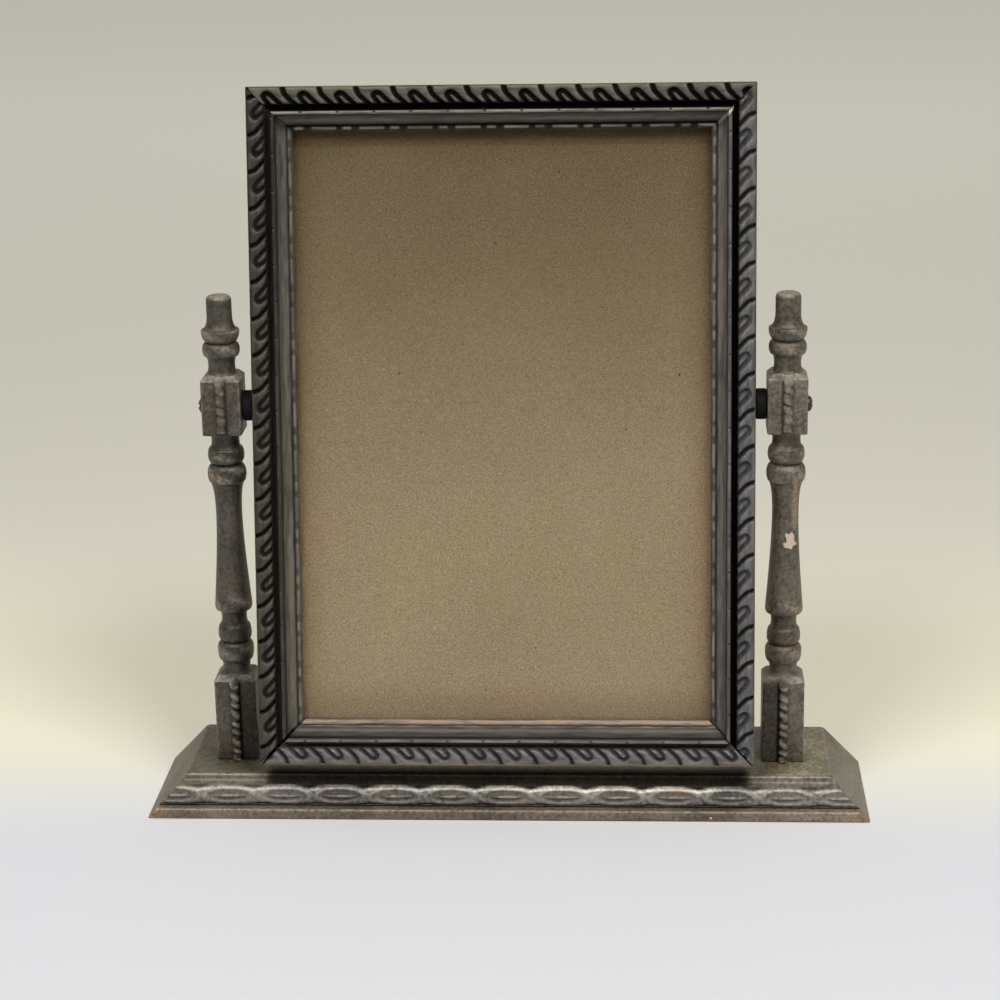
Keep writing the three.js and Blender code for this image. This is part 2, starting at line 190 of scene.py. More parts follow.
def carve(piece, depth, direction):  # move each point by its own depth, inwards along its normal
    group = piece.vertex_groups.new(name="carving")
    deepest = float(depth.max())
    for index in np.nonzero(depth > hair)[0]:
        group.add([int(index)], float(depth[index] / deepest), 'REPLACE')
    sign = -1 if direction == 'NORMAL' else 1
    useModifier(piece, 'DISPLACE', vertex_group="carving", direction=direction, mid_level=0,
                strength=sign * deepest * mm)
    piece.vertex_groups.clear()


def ease(low, high, value):  # 0 below low, 1 above high
    part = np.clip((value - low) / (high - low), 0, 1)
    return part * part * (3 - 2 * part)


def fade(low, high, value):  # 1 below low, 0 above high
    return 1 - ease(low, high, value)


def zone(start, end, value):  # rises over the pair start and falls over the pair end
    return ease(*start, value) * fade(*end, value)


def within(low, high, value):
    return (value > low) * (value < high)


def highest(*fields):
    return np.maximum.reduce(fields)


def strongest(shares, fields):  # the highest at each point, each field taken times its share
    return highest(*[share * fields[name] for name, share in shares.items()])


def waver(value, first, second):  # uneven wear from 0.3 to 1, from two waves as rate and start
    return 0.65 + 0.35 * np.sin(first[0] * value + first[1]) * np.sin(second[0] * value + second[1])


def bow(start, pull, end, steps):  # curve from start to end, drawn towards pull
    run = [i / steps for i in range(1, steps + 1)]
    return [tuple((1 - t) ** 2 * a + 2 * t * (1 - t) * b + t * t * c
                  for a, b, c in zip(start, pull, end)) for t in run]


def arc(centre, radii, start, end, steps):  # part of an ellipse, angles in degrees
    angles = [math.radians(start + (end - start) * i / steps) for i in range(1, steps + 1)]
    return [(centre[0] + radii[0] * math.cos(a), centre[1] + radii[1] * math.sin(a)) for a in angles]


def straight(start, end, steps):
    return [tuple(a + (b - a) * i / steps for a, b in zip(start, end)) for i in range(1, steps + 1)]


def traced(start, *moves):  # each move is an end and its steps, a curve has its pull before them
    path = [start]
    for *pull, end, steps in moves:
        path += bow(path[-1], *pull, end, steps) if pull else straight(path[-1], end, steps)
    return path


def through(knots, steps):  # smooth line through knots
    knots = np.array([knots[0], *knots, knots[-1]], float)
    line = []
    for a, b, c, d in zip(knots, knots[1:], knots[2:], knots[3:]):
        for t in np.linspace(0, 1, steps, endpoint=False):
            line.append(0.5 * (2 * b + (c - a) * t + (2 * a - 5 * b + 4 * c - d) * t * t
                               + (3 * b - a - 3 * c + d) * t ** 3))
    return np.array([*line, knots[-1]])


def nearest(along, across, line, pitch):  # distance to a line that repeats along a piece
    along = along % pitch
    best = np.full(along.shape, np.inf)
    for repeat in (-pitch, 0, pitch):
        for x, y in line:
            best = np.minimum(best, np.hypot(along - x - repeat, across - y))
    return best


def settle(piece, body, material, replaced, angle=35):
    pickUp(piece)
    bpy.ops.object.shade_smooth_by_angle(angle=math.radians(angle))
    piece.data.materials.clear()
    piece.data.materials.append(material)
    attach(piece, body)
    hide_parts(*replaced)


# Materials. Scales are per metre, and a name ending in At holds the noise at which a tone starts and is full.

def colour(red, green, blue):  # a screen colour, 0 to 255
    screen = [value / 255 for value in (red, green, blue)]
    return (*[v / 12.92 if v < 0.04045 else ((v + 0.055) / 1.055) ** 2.4 for v in screen], 1)


def newMaterial(name):
    material = bpy.data.materials.new(name)
    material.use_nodes = True
    return material, material.node_tree, material.node_tree.nodes["Principled BSDF"]


def feed(node, inputs):  # sockets by name or number, each linked or set to a constant
    for name, value in inputs.items():
        if isinstance(value, bpy.types.NodeSocket):
            node.id_data.links.new(value, node.inputs[name])
        else:
            node.inputs[name].default_value = value


def addNode(tree, kind, outlet, inputs=None, **settings):
    node = tree.nodes.new("ShaderNode" + kind)
    for name, value in settings.items():
        setattr(node, name, value)
    feed(node, inputs or {})
    return node.outputs[outlet]


def grain(where, scale, detail=4, rough=0.55):
    return addNode(where.id_data, "TexNoise", "Fac",
                   {"Vector": where, "Scale": scale, "Detail": detail, "Roughness": rough})


def levels(value, low, high, bottom=0.0, top=1.0):
    return addNode(value.id_data, "MapRange", "Result", {0: value, 1: low, 2: high, 3: bottom, 4: top},
                   interpolation_type='SMOOTHSTEP')


def sums(operation, first, second):
    return addNode(first.id_data, "Math", "Value", {0: first, 1: second}, operation=operation)


def product(first, second):
    return sums('MULTIPLY', first, second)


def size(value):
    return addNode(value.id_data, "Math", "Value", {0: value}, operation='ABSOLUTE')


def mixed(share, first, second):  # so much of the first, the rest of the second
    return sums('ADD', product(first, share), product(second, 1 - share))


def blend(share, first, second):
    return addNode(share.id_data, "Mix", 2, {0: share, 6: first, 7: second}, data_type='RGBA')


def shade(coat, tint):
    return addNode(coat.id_data, "VectorMath", "Vector", {0: coat, 1: tint}, operation='MULTIPLY')


def stored(tree, name, outlet="Fac"):
    return addNode(tree, "Attribute", outlet, attribute_name=name)


def relief(height, look):
    return addNode(height.id_data, "Bump", "Normal",
                   {"Strength": look["bump"], "Distance": look["bumpHeight"] * mm, "Height": height})


paintLook = dict(
    dark=colour(74, 71, 65), light=colour(114, 110, 102), wash=colour(13, 11, 9), stain=colour(104, 84, 62),
    rubbed=colour(172, 164, 150), wood=colour(174, 142, 118), chip=colour(208, 190, 172),
    metallic=0.3, specular=0.5, roughness=(0.38, 0.58), washRoughness=0.9, streak=(0.15, 1, 1),
    cloudScale=55, stainScale=120, speckScale=900, gritScale=1900, cloudShare=0.5, speckShare=0.7,
    stainShare=0.3, mottleAt=(0.36, 0.66), stainAt=(0.52, 0.7), sheenAt=(0.3, 0.7), rubbedAt=(0.3, 0.62),
    leastRubbed=0.25, bareAt=(0.5, 0.85), chipAt=(0.75, 0.85), raggedness=0.5, bump=0.15, bumpHeight=0.3,
)


# The paint reads shares from 0 to 1 that a piece stores: the wash share is filled with dark wash and also
# with painted shade, the rubbed share is polished and also holds painted highlights, bare shows wood and chip
# shows the pale ground. A stored tint multiplies the colour, and on some pieces it also paints light and
# shade.
def wornPaint(name, source, look):  # source is "object" or the attribute that the paint follows
    material, tree, shader = newMaterial(name)
    if source == "object":
        where = addNode(tree, "TexCoord", "Object")
    else:
        follow = stored(tree, source, "Vector")
        where = addNode(tree, "Mapping", "Vector", {"Vector": follow, "Scale": look["streak"]})
    cloud = grain(where, look["cloudScale"], 5)
    speck = grain(where, look["speckScale"], 3)
    grit = grain(where, look["gritScale"], 2)
    mottle = mixed(look["cloudShare"], cloud, speck)
    coat = blend(levels(mottle, *look["mottleAt"]), look["dark"], look["light"])
    stain = levels(grain(where, look["stainScale"]), *look["stainAt"], 0, look["stainShare"])
    coat = blend(stain, coat, look["stain"])
    coat = shade(coat, stored(tree, "tint", "Vector"))
    hollow = stored(tree, "hollow")
    patches = levels(speck, *look["rubbedAt"], look["leastRubbed"], 1)
    rubbed = product(stored(tree, "rubbed"), patches)
    ragged = product(speck, look["raggedness"])
    bare = levels(sums('ADD', stored(tree, "bare"), ragged), *look["bareAt"])
    chip = levels(sums('ADD', stored(tree, "chip"), ragged), *look["chipAt"])
    for share, tone in ((rubbed, "rubbed"), (bare, "wood"), (hollow, "wash"), (chip, "chip")):
        coat = blend(share, coat, look[tone])
    lost = sums('MAXIMUM', hollow, sums('MAXIMUM', bare, chip))
    covered = addNode(tree, "Math", "Value", {0: 1.0, 1: lost}, operation='SUBTRACT')
    sheen = levels(mottle, *look["sheenAt"], *look["roughness"])
    feed(shader, {
        "Base Color": coat, "Metallic": product(covered, look["metallic"]),
        "Specular IOR Level": product(covered, look["specular"]),
        "Roughness": addNode(tree, "Mix", 0, {0: covered, 2: look["washRoughness"], 3: sheen}),
        "Normal": relief(mixed(look["speckShare"], speck, grit), look),
    })
    return material


standLook = dict(paintLook, dark=colour(67, 64, 58), light=colour(118, 114, 106), stainShare=0.4)
mouldingPaint = wornPaint("mouldingPaint", "stick", paintLook)
standPaint = wornPaint("standPaint", "object", standLook)


# The board's head, strip, foot and edge tones are painted shade: darker towards the top, a painted shadow of
# the top rail just below it, darker at the bottom and towards the sides.
boardLook = dict(  # head, strip, foot and edge: where a shade starts and is full, in metres, and its tone
    dark=colour(194, 163, 126), light=colour(243, 216, 179), fleck=colour(96, 76, 52), roughness=0.85,
    fibreScale=2600, cloudScale=25, fibreShare=0.88, mottleAt=(0.34, 0.68), fleckScale=640,
    fleckAt=(0.74, 0.78), bump=0.2, bumpHeight=0.1,
    head=(0.07, 0.2, (0.5, 0.45, 0.39, 1)), railShadowStrip=(0.1946, 0.195, (0.88, 0.86, 0.76, 1)),
    foot=(0.041, 0.028, (0.8, 0.74, 0.72, 1)), edge=(0.05, 0.063, (0.84, 0.77, 0.69, 1)),
)
glassLook = dict(
    tint=(0.93, 0.96, 0.94, 1), index=1.45, dustScale=30, dustAt=(0.4, 0.7), roughness=(0.015, 0.06),
)
metalLook = dict(
    specular=0.25, spotScale=600, toneAt=(0.35, 0.65), sheenAt=(0.3, 0.7), bump=0.15, bumpHeight=0.2,
)
steelLook = dict(
    metalLook, dark=colour(58, 50, 42), light=colour(112, 100, 86), roughness=(0.35, 0.6), metallic=0.9,
)
bushLook = dict(
    metalLook, dark=colour(6, 5, 5), light=colour(14, 12, 10), roughness=(0.7, 0.9), metallic=0.0,
)


def chipboard(look):
    material, tree, shader = newMaterial("chipboard")
    where = addNode(tree, "TexCoord", "Object")
    fibre = grain(where, look["fibreScale"], 3, 0.6)
    cloud = grain(where, look["cloudScale"], 3)
    mottle = mixed(look["fibreShare"], fibre, cloud)
    coat = blend(levels(mottle, *look["mottleAt"]), look["dark"], look["light"])
    upward = addNode(tree, "SeparateXYZ", "Z", {"Vector": where})
    fromMiddle = size(addNode(tree, "SeparateXYZ", "X", {"Vector": where}))
    # painted shade on the board: darker at the top, a painted shadow strip under the top rail, darker at the
    # bottom and near the sides
    for measure, name in ((upward, "head"), (upward, "railShadowStrip"), (upward, "foot"), (fromMiddle, "edge")):
        start, full, tone = look[name]
        coat = shade(coat, blend(levels(measure, start, full), (1, 1, 1, 1), tone))
    fleck = levels(grain(where, look["fleckScale"], 2), *look["fleckAt"])
    coat = blend(fleck, coat, look["fleck"])
    feed(shader, {"Base Color": coat, "Roughness": look["roughness"], "Normal": relief(fibre, look)})
    return material


def pictureGlass(look):
    material, tree, shader = newMaterial("pictureGlass")
    smears = grain(addNode(tree, "TexCoord", "Object"), look["dustScale"], 5)
    dust = levels(smears, *look["dustAt"], *look["roughness"])
    feed(shader, {"Base Color": look["tint"], "Transmission Weight": 1, "IOR": look["index"],
                  "Roughness": dust})
    return material


def spottedMetal(name, look):
    material, tree, shader = newMaterial(name)
    spots = grain(addNode(tree, "TexCoord", "Object"), look["spotScale"], 4, 0.65)
    coat = blend(levels(spots, *look["toneAt"]), look["dark"], look["light"])
    dull = levels(spots, *look["sheenAt"], *look["roughness"])
    feed(shader, {"Base Color": coat, "Metallic": look["metallic"], "Specular IOR Level": look["specular"],
                  "Roughness": dull, "Normal": relief(spots, look)})
    return material


boardFinish = chipboard(boardLook)
glassFinish = pictureGlass(glassLook)
steelFinish = spottedMetal("agedSteel", steelLook)
bushFinish = spottedMetal("blackBush", bushLook)
print("materials mixed")


# Frame moulding: one carved stick, from which all four sides are cut.
# Insets are from the outer edge and faces are heights from the back.

moulding = dict(
    width=12.7, stickLength=224, columns=(27, 26), pitch=10.57,
    slash=([(-0.1, -0.3), (0.3, 1.2), (0.9, 2.5), (2.2, 3.8), (3.6, 5.1), (4.8, 6.3)], 24),
    loop=([(7.6, 6.3), (6.6, 5.0), (5.6, 3.8), (5.1, 2.85), (5.4, 2.3), (6.2, 2.05), (7.1, 2.4), (8.2, 3.4),
           (9.9, 5.0), (11.2, 6.3)], 12),
    strokeWidth=((0, 6.2), (1.0, 0.9)), strokeFade=(0.35, 1.0), strokeDepth=0.9,
    pillowFade=(0.2, 2.0), pillowDepth=0.2, inkCore=0.65, inkless=9,
    band=((-0.25, 0.6), (4.9, 5.4)), bandFace=10.4, bandRub=(2.0, 4.6), bandRubbed=0.15,
    groove=((4.75, 5.2), (6.95, 7.15)), grooveFace=10.3, crest=((7.15, 7.3), (7.75, 7.95)), crestFace=12.9,
    nickFade=(0.2, 0.6), nickDepth=0.3, nickWash=0.6,
    lines=((8.25, (0.05, 0.3)), (11.1, (0.05, 0.25))), lineFaces=(7.5, 13.0), lineEnd=11.4, lineWash=0.75,
    bead=(11.22, 12.69), beadFace=7.9, beadMiddle=11.95, beadTop=(0.2, 0.5), beadSideWash=0.8,
    dashPitch=13.9, dashes=((0.0, 7.0), (9.0, 11.4)), dashFade=(0.4, 0.3), dashDepth=0.2,
    dashWaves=((0.13, 1), (0.31, 2)), coveStart=8.1, edgeFade=(0.3, 0.9), lipFade=0.3, lipFace=6.5,
    pale=((6.3, 6.9), (10.6, 11.2)), paleFade=(0.6, 1.0), paleFace=6.3, darkFade=(0.1, 0.4),
)
swing = dict(
    width=146.2, height=198.8, pivotHeight=121.23, pivotFromBack=6.5, pivotAboveCentre=7.2, tilt=9.2,
)


def mouldingOutline():  # pairs of height and inset, from the outer edge at the back
    path = traced(
        (0, 0), ((12.2, 0), 4), ((13.1, 0.05), (13.25, 0.9), 5), ((13.5, 2.6), (13.15, 4.3), 13),
        ((13.05, 4.8), (12.6, 4.95), 4), ((11.1, 5.6), 5), ((10.6, 5.8), (10.6, 6.3), 3),
        ((10.6, 6.8), (11.4, 6.88), 3), ((13.2, 7.12), 4), ((13.5, 7.18), (13.5, 7.45), 3),
        ((13.5, 7.85), 1), ((13.5, 8.1), (13.1, 8.12), 3), ((12.3, 8.2), 2),
        ((8.0, 8.35), (8.0, 11.0), 12), ((7.85, 11.2), 1))
    path += arc((7.95, 11.95), (0.75, 0.75), -90, 90, 10)
    path += traced(path[-1], ((6.4, 12.7), 2), ((6.4, 9.3), 1), ((0, 9.3), 1))[1:]
    return path


def beadDashes(along):  # 1 on the dashes of the bead at the glass, 0 in its gaps
    outer, inner = moulding["dashFade"]
    here = along % moulding["dashPitch"]
    dash = np.zeros(len(along))
    for begin, end in moulding["dashes"]:
        rise = (begin - outer, begin + inner)
        fall = (end - inner, end + outer)
        dash = highest(dash, zone(rise, fall, here), ease(*rise, here - moulding["dashPitch"]))
    return dash


def carvedStick():
    look = moulding
    length = look["stickLength"]
    section = [(0, -height, -inset) for height, inset in mouldingOutline()]
    stick = extrudeOutline("stick", section, (length, 0, 0))
    place(stick, shift(x=-length / 2))
    for cuts in look["columns"]:
        cutRows(stick, 0, cuts)
    along, height, inset = corners(stick).T * np.array([[1], [-1], [-1]])
    pitch = look["pitch"]
    slash = nearest(along, inset, through(*look["slash"]), pitch)
    loop = nearest(along, inset, through(*look["loop"]), pitch)
    stroke = np.minimum(slash, loop)
    width = np.interp(inset, *look["strokeWidth"])
    onBand = zone(*look["band"], inset) * (height > look["bandFace"])
    cut = fade(*look["strokeFade"], stroke / width) * onBand
    pillow = fade(*look["pillowFade"], stroke) * onBand
    onCrest = zone(*look["crest"], inset) * (height > look["crestFace"])
    nick = fade(*look["nickFade"], abs(along % pitch - pitch / 2)) * onCrest
    lines = highest(*[fade(*reach, abs(inset - middle)) for middle, reach in look["lines"]])
    lines = lines * within(*look["lineFaces"], height) * (inset < look["lineEnd"])
    onBead = within(*look["bead"], inset) * (height > look["beadFace"])
    onTop = fade(*look["beadTop"], abs(inset - look["beadMiddle"]))
    dash = beadDashes(along)
    gap = (1 - dash) * onBead
    depth = look["strokeDepth"] * cut + look["pillowDepth"] * pillow
    carve(stick, highest(depth, look["nickDepth"] * nick, look["dashDepth"] * gap), 'Y')
    offSlash, offLoop = [np.where(onBand > 0, away / width + 1 - onBand, look["inkless"])
                         for away in (slash, loop)]
    remember(
        stick, stick=corners(stick) * mm, offSlash=offSlash, offLoop=offLoop, crest=onCrest * (1 - nick),
        groove=zone(*look["groove"], inset) * (height > look["grooveFace"]),
        hollow=highest(look["nickWash"] * nick, look["lineWash"] * lines),
        rubbed=look["bandRubbed"] * onBand * ease(*look["bandRub"], inset) * (1 - cut),
        dash=dash * onBead * onTop * waver(along, *look["dashWaves"]),
        gap=highest(gap, look["beadSideWash"] * onBead * (1 - onTop)))
    return stick


def wearAndLight(rail, side):  # ink, rubbing and tones of one side, kept for the paint
    height, inset = -corners(rail).T[1:]
    start = side["lipFrom"]
    lip = ease(start, start + moulding["lipFade"], inset) * (height > moulding["lipFace"])
    worn = side["worn"] * lip
    dashes = side["dashes"] * recall(rail, "dash")
    # crest: a painted highlight along the crest, strongest on the top and bottom rails, almost none on the
    # stiles
    crest = side["crest"] * recall(rail, "crest")
    change(rail, "rubbed", highest(recall(rail, "rubbed"), dashes, worn, crest))
    reach, slashes, loops = side["ink"]
    ink = [share * fade(moulding["inkCore"] * reach, reach, recall(rail, name))
           for share, name in ((slashes, "offSlash"), (loops, "offLoop"))]
    gaps = side["gaps"] * recall(rail, "gap")
    # groove: dark wash in the groove, set darker on the top rail and right stile as painted shade
    groove = side["groove"] * recall(rail, "groove")
    hollow = highest(recall(rail, "hollow"), gaps, groove, *ink)
    change(rail, "hollow", hollow * (1 - worn))
    # the cove and side tints below hold painted light and shade for each side; the edge tone is the
    # moulding's own browner edge
    onCove = (inset > moulding["coveStart"])[:, None]
    onEdge = (fade(*moulding["edgeFade"], inset) * (height > side["edgeFrom"]))[:, None]
    lightAndEdgeTone = np.where(onCove, side["cove"], 1) * (1 - onEdge * (1 - np.array(side["edge"])))
    remember(rail, bare=side["bare"] * lip, chip=np.zeros(len(inset)), tint=lightAndEdgeTone * np.array(side["tint"]))


# Ends hold a mitre's opening outside and inside and its look. Ink holds its reach and the shares of slashes
# and loops. Tint, cove and edge multiply the colour all over, inside the crest and at the outer edge. The
# tint and cove differ from side to side as painted light and shade, with the top rail and left stile made
# darker and the right stile and bottom rail lighter.
sides = dict(
    top_rail=dict(
        turn=0, length=swing["width"], reach=swing["height"] / 2, phase=1.0,
        ends=((0.1, 0.08, "plain"), (0.06, 0.45, "plain")), ink=(1.0, 0.97, 0.97), dashes=1.0, gaps=0.8,
        worn=0.0, bare=0.0, lipFrom=11.2, groove=1.0, crest=0.6, edgeFrom=-1,
        tint=(0.95, 0.95, 0.86), cove=(1.25, 1.25, 1.28), edge=(0.95, 0.85, 0.6)),
    right_stile=dict(
        turn=90, length=swing["height"], reach=swing["width"] / 2, phase=4.4,
        ends=((0.06, 0.45, "pale"), (0.25, 0.25, "plain")), ink=(0.72, 0.92, 0.6), dashes=0.35, gaps=0.65,
        worn=0.1, bare=0.1, lipFrom=11.2, groove=1.0, crest=0.05, edgeFrom=-1,
        tint=(1.15, 1.2, 1.4), cove=(1.3, 1.18, 1.05), edge=(1.0, 0.85, 0.58)),
    bottom_rail=dict(
        turn=180, length=swing["width"], reach=swing["height"] / 2, phase=1.2,
        ends=((0.25, 0.25, "plain"), (0.5, 0.12, "dark")), ink=(0.66, 0.85, 0.78), dashes=0.1, gaps=0.0,
        worn=0.95, bare=0.4, lipFrom=10.5, groove=0.55, crest=0.4, edgeFrom=9.5,
        tint=(1.23, 1.27, 1.44), cove=(0.58, 0.54, 0.48), edge=(1.5, 1.22, 0.75)),
    left_stile=dict(
        turn=-90, length=swing["height"], reach=swing["width"] / 2, phase=0.9,
        ends=((0.5, 0.12, "dark"), (0.1, 0.08, "plain")), ink=(0.72, 0.95, 0.82), dashes=0.22, gaps=0.6,
        worn=0.08, bare=0.15, lipFrom=11.2, groove=0.75, crest=0.0, edgeFrom=-1,
        tint=(0.48, 0.46, 0.4), cove=(2.92, 2.92, 3.1), edge=(0.94, 0.8, 0.54)),
)
swingPlace = shift(z=swing["pivotHeight"]) @ turn(-swing["tilt"], 'X')
framePlace = swingPlace @ shift(y=swing["pivotFromBack"], z=-swing["pivotAboveCentre"])


def mitre(rail, side, end, outer, inner, look):
    lean = (moulding["width"] + (inner - outer) * math.sqrt(2)) / moulding["width"]
    corner = side["length"] / 2 - outer * math.sqrt(2)
    trim(rail, (end * corner, 0, 0), (end, 0, -lean))
    along, height, inset = (corners(rail) * (end, -1, -1)).T
    toCut = corner - lean * inset - along
    if look == "pale":
        bared = fade(*moulding["paleFade"], toCut) * zone(*moulding["pale"], inset)
        change(rail, "chip", bared * (height > moulding["paleFace"]))
    if look == "dark":
        change(rail, "hollow", highest(recall(rail, "hollow"), fade(*moulding["darkFade"], toCut)))


stick = carvedStick()
for node, side in sides.items():
    rail = copyOf(stick, node.replace("_", "") + "Carved")
    place(rail, shift(x=side["phase"]))
    wearAndLight(rail, side)
    for end, (outer, inner, look) in zip((-1, 1), side["ends"]):
        mitre(rail, side, end, outer, inner, look)
    place(rail, framePlace @ turn(side["turn"], 'Y') @ shift(z=side["reach"]))
    settle(rail, "swing_frame", mouldingPaint, [node])
    print("cut", node, len(rail.data.polygons), "faces")
throwAway(stick)


# Base: a length of moulding with a chain of ovals along its front, ends cut to a slope.
# Points of the section are pairs of depth and height, the front at negative depths.

base = dict(
    length=215.2, rear=22.3, height=11.6, endRun=11.1, spare=2, columns=(23, 24),
    bandTop=(-19.6, 9.2), bandPull=(-22.9, 6.5), bandFoot=(-21.7, 3.7), bandSteps=24, bandHalf=2.75,
    bandEnds=(0, 0.04), ovalPitch=16.57, ovalHalf=(6.6, 1.85), ovalFade=(0.75, 1.05), kernelHalf=(3.5, 0.42),
    kernelFade=(0.8, 1.6), scallopTop=2.5, topFade=(-0.3, 0.45), scallopFoot=2.35, footFade=(0.0, 0.35),
    scallopDip=0.6, twist=1.2, linkSlope=0.95, linkHalf=1.1, linkFade=(0.15, 0.7), linkStart=(1.05, 1.3),
    ridge=((-0.95, -0.55), (0.1, 0.4)), rimPlace=1.12, rimFade=(0.05, 0.16),
    carving=dict(ring=0.5, edge=0.85, crease=0.15), arrisDepth=0.35, arrisReach=1.1,
    wearAndLight=dict(
        # wash holds dark wash in the carving and also the painted shadow of the frame on the base
        wash=dict(ring=0.35, edge=0.3, crease=0.2, quirk=0.55, scratch=0.6, paintedFrameShadow=0.8),
        rubs=dict(kernel=0.5, nosing=0.6, lip=0.5, arris=0.25, rim=0.35),
        wood=dict(frontFoot=0.3, footTips=0.42, tips=0.15),
        quirkDepths=(-21.75, -21.0), quirkHeights=(3.1, 3.75), scratchDepths=(-16.35, -15.65),
        scratchTop=11.55, nosing=(-17.0, 11.45), nosingFade=(0.25, 0.55), lip=(-24.2, 3.05),
        lipFade=(0.1, 0.7), arrisFade=(0.2, 1.1), footFade=(0.2, 1.6), footDepth=-20, tipStart=(94, 107),
        tipDepth=-15,
        # these place the painted shadow of the frame on the base's ledge and the top of its band, with the
        # nosing kept a little lighter
        underFrame=(70.5, 73.5), frameShadowTop=(0.2, 0.45), frameShadowHeight=8.9, frameShadowDepths=(-14.5, -11.5),
        nosingKept=0.5, ledgeHeight=11.25, ledgeDepth=-16.5, plinthHeight=3.25, warmReflectionHeight=11.5,
        warmReflectionEnd=(-8, -4), rustStart=(99, 106), rustHeight=3.3,
        ledgeTint=(1.0, 0.95, 0.72), filletTint=(1.2, 1.14, 1.0), bandTint=(1.4, 1.4, 1.43),
        plinthTint=(1.42, 1.25, 1.12), warmReflectionTint=(2.6, 2.05, 1.1), rustTint=(1.3, 0.98, 0.62),
        # painted light: the right end slope is tinted much lighter than the left, the right part of the base
        # is brightened, and the scallops' top edge gets a painted highlight, strongest around the middle and
        # weaker at the ends
        shadedLeftEndTint=(1.12, 1.02, 0.86), litRightEndTint=(1.7, 1.62, 1.32),
        rightStart=(66, 90), rightLedge=1.7, rightFront=0.4,
        ridgeBright=2.8, ridgeLeast=0.5, ridgeSteps=((0.5, -70, 20), (-0.75, 55, 85)),
        chips=[(-99.5, -19.5, 8.4, 1.1), (-104.5, -24.0, 3.1, 0.8), (60.5, -24.3, 1.2, 0.7),
               (101.8, -21.5, 5.0, 0.8)], chipFade=(0.3, 1.0),
    ),
)


def baseBand():
    return bow(base["bandTop"], base["bandPull"], base["bandFoot"], base["bandSteps"])


def baseOutline():  # from the rear foot over the top
    top = base["height"]
    rear = base["rear"]
    path = traced(
        (rear, 0.3), ((rear, top - 0.4), 2), ((rear, top), (rear - 0.4, top), 3), ((-15.7, top), 6),
        ((-16.0, top - 0.45), (-16.3, top), 4), ((-17.3, top + 0.05), (-17.4, top - 0.9), 5),
        ((-17.5, 9.3), base["bandTop"], 6))
    path += baseBand()
    path += traced(
        path[-1], ((-21.1, 3.2), 2), ((-23.8, 3.2), 3), ((-24.4, 3.2), (-24.4, 2.6), 4), ((-24.4, 0.7), 3),
        ((-24.4, 0), (-23.7, 0), 4), ((rear - 0.3, 0), 2))[1:]
    return path


def fromOval(along, pitch):  # distance along the base from the nearest oval's middle
    return (along + pitch / 2) % pitch - pitch / 2


def wave(along, pitch):  # 0 over each oval, 1 at the cusps between
    return abs(2 * fromOval(along, pitch) / pitch) ** 3


def ovalBand(along, depth, height):  # where the band is, how far down it, and its carved parts
    line = np.array([base["bandTop"], *baseBand()])
    gaps = np.hypot(depth[:, None] - line[:, 0], height[:, None] - line[:, 1])
    onBand = gaps.min(axis=1) < 10 * hair
    down = gaps.argmin(axis=1) / base["bandSteps"]
    pitch = base["ovalPitch"]
    u = fromOval(along, pitch)
    v = base["bandHalf"] * (1 - 2 * down)
    oval = np.hypot(u / base["ovalHalf"][0], v / base["ovalHalf"][1])
    kernel = np.hypot(u / base["kernelHalf"][0], v / base["kernelHalf"][1])
    fromTop = v - base["scallopTop"] + base["scallopDip"] * wave(u + base["twist"], pitch)
    fromFoot = -v - base["scallopFoot"] + base["scallopDip"] * wave(u - base["twist"], pitch)
    edge = highest(ease(*base["topFade"], fromTop), ease(*base["footFade"], fromFoot))
    link = abs(u % pitch - pitch / 2 + base["linkSlope"] * v)
    crease = fade(*base["linkFade"], abs(link - base["linkHalf"])) * (1 - edge)
    parts = dict(
        ring=fade(*base["ovalFade"], oval) * ease(*base["kernelFade"], kernel), kernel=kernel < 1, edge=edge,
        crease=crease * ease(*base["linkStart"], oval), ridge=zone(*base["ridge"], fromTop),
        rim=fade(*base["rimFade"], abs(oval - base["rimPlace"])))
    return onBand, down, fromTop, {name: part * onBand for name, part in parts.items()}


def carvedBase():
    half = base["length"] / 2
    slope = base["endRun"] / base["height"]
    section = [(-half - base["spare"], depth, height) for depth, height in baseOutline()]
    piece = extrudeOutline("baseCarved", section, (2 * (half + base["spare"]), 0, 0))
    for end in (-1, 1):
        trim(piece, (end * half, 0, 0), (end, 0, slope))
    for cuts in base["columns"]:
        cutRows(piece, 0, cuts)
    along, depth, height = corners(piece).T
    fromEnd = half - height * slope - abs(along)
    onBand, down, fromTop, parts = ovalBand(along, depth, height)
    sunk = strongest(base["carving"], parts)
    sunk *= ease(*base["bandEnds"], down) * ease(*base["bandEnds"], 1 - down)
    sunk += base["arrisDepth"] * fade(0, base["arrisReach"], fromEnd)
    carve(piece, sunk, 'NORMAL')
    wearAndLightOfBase(piece, (along, depth, height), fromEnd, onBand, fromTop, parts)
    return piece


